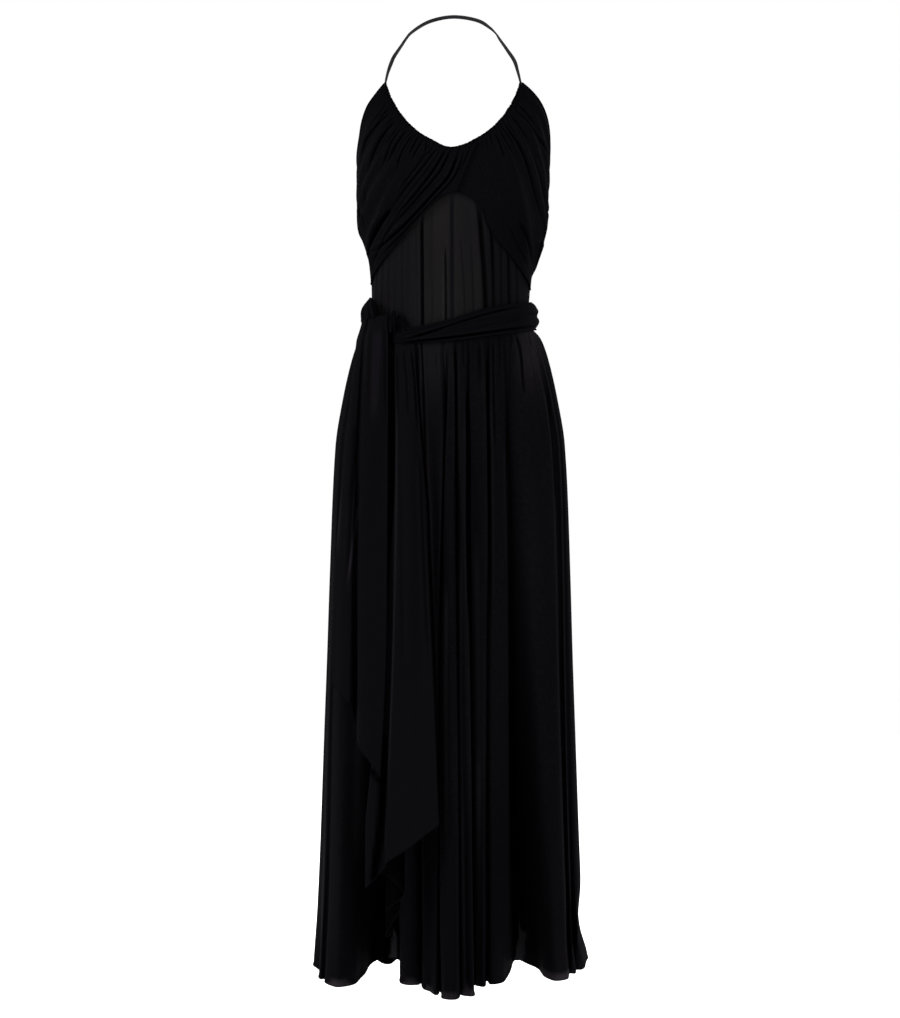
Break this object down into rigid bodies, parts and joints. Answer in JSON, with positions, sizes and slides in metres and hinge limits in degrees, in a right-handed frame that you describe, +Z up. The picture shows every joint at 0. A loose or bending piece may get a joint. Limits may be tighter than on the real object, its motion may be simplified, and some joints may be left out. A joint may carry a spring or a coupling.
{
  "type": "halter maxi dress",
  "caption": "Floor-length halter dress with wrapped gathered cups, a see-through gathered midriff, a knotted sash with long tails and a flared folded skirt",
  "frame": {"origin": "the middle of the neck tape at the nape, where the wearer's neck holds the dress up", "axes": "+Z up along the height of the dress, front of the dress towards -Y, +X towards the wearer's left"},
  "size_m": [0.412, 0.4, 1.4577],
  "materials": {
    "black_chiffon": "fluid woven chiffon, near black with a faint violet cast, soft low sheen",
    "sheer_chiffon": "one layer of the same chiffon, gathered and slightly see-through",
    "sash_chiffon": "the same chiffon in several layers, opaque, soft low sheen",
    "strap_tape": "narrow rolled tape of the dress cloth"
  },
  "bodies": {
    "root": {"cup_right": "black_chiffon", "cup_left": "black_chiffon", "midriff_front": "sheer_chiffon", "bodice_back": "black_chiffon", "skirt_front": "black_chiffon", "skirt_back": "black_chiffon", "neck_strap": "strap_tape", "sash_band": "sash_chiffon", "knot_hump": "sash_chiffon", "knot_loop": "sash_chiffon", "sash_tail_front": "sash_chiffon", "sash_tail_side": "sash_chiffon"}
  },
  "joints": []
}
